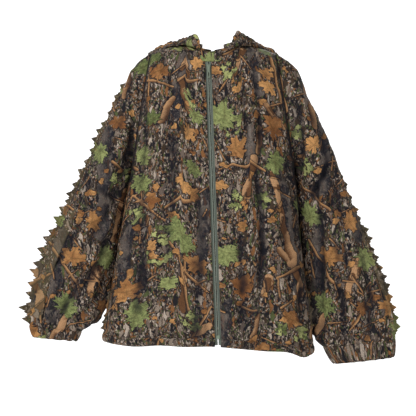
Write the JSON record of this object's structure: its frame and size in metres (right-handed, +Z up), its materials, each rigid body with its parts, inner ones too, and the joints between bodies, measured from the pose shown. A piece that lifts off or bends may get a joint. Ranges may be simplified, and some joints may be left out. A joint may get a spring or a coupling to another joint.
{
  "type": "camouflage jacket",
  "caption": "Zip-front hooded camouflage jacket with leaf-cut fringes, hanging with its sleeves down and its hood lying back.",
  "frame": {"origin": "middle of the neck opening, level with the neck point of the shoulders", "axes": "+Z up, -Y out of the jacket's front, +X towards the wearer's left sleeve"},
  "size_m": [0.9675, 0.2933, 0.825],
  "materials": {
    "printed_cloth": "limp woven polyester, camouflage printed with leaves and twigs",
    "leaf_cloth": "leaf-cut printed cloth, raw edged",
    "binding_tape": "narrow twill tape",
    "elastic": "flat woven elastic",
    "zip_tape": "close-woven tape",
    "zip_coil": "nylon coil",
    "zip_slider": "enamelled die casting",
    "zip_ends": "moulded plastic"
  },
  "bodies": {
    "torso": {"front_panel_right": "printed_cloth", "front_panel_left": "printed_cloth", "back_panel": "printed_cloth", "zip_garage": "printed_cloth", "hem_casing_right": "printed_cloth", "hem_casing_left": "printed_cloth", "hem_casing_back": "printed_cloth", "hem_elastic": "elastic", "side_leaves_right": "leaf_cloth", "side_leaves_left": "leaf_cloth", "hood_collar_right": "printed_cloth", "hood_collar_left": "printed_cloth", "neck_tape": "binding_tape", "hang_loop": "binding_tape", "zip_tape_right": "zip_tape", "zip_tape_left": "zip_tape", "zip_coil_right": "zip_coil", "zip_coil_left": "zip_coil", "zip_top_stops": "zip_ends", "zip_pin": "zip_ends", "zip_box": "zip_ends"},
    "sleeve_right": {"sleeve_upper_right": "printed_cloth", "sleeve_lower_right": "printed_cloth", "cuff_casing_right": "printed_cloth", "cuff_elastic_right": "elastic", "sleeve_leaves_right": "leaf_cloth"},
    "sleeve_left": {"sleeve_upper_left": "printed_cloth", "sleeve_lower_left": "printed_cloth", "cuff_casing_left": "printed_cloth", "cuff_elastic_left": "elastic", "sleeve_leaves_left": "leaf_cloth"},
    "hood": {"hood_side_right": "printed_cloth", "hood_side_left": "printed_cloth", "hood_centre_panel": "printed_cloth", "hood_edge_casing": "printed_cloth", "hood_elastic": "elastic"},
    "slider": {"zip_slider": "zip_slider"},
    "pull": {"zip_pull": "zip_slider"}
  },
  "joints": [
    {"name": "sleeve_right_raise", "type": "hinge", "parent": "torso", "child": "sleeve_right", "pos_m": [-0.158, 0, -0.009], "axis": [0, 1, 0], "range_deg": [0, 60]},
    {"name": "sleeve_left_raise", "type": "hinge", "parent": "torso", "child": "sleeve_left", "pos_m": [0.158, 0, -0.009], "axis": [0, -1, 0], "range_deg": [0, 60]},
    {"name": "hood_raise", "type": "hinge", "parent": "torso", "child": "hood", "pos_m": [0, 0.0606, 0.0202], "axis": [1, 0, 0], "range_deg": [0, 120]},
    {"name": "zip_slide", "type": "slide", "parent": "torso", "child": "slider", "axis": [0.0351, -0.0648, -0.9973], "range_m": [0, 0.64]},
    {"name": "pull_flip", "type": "hinge", "parent": "slider", "child": "pull", "pos_m": [-0.01155, -0.07547, -0.04457], "axis": [-0.9994, -0.0011, -0.0351], "range_deg": [0, 170]}
  ]
}
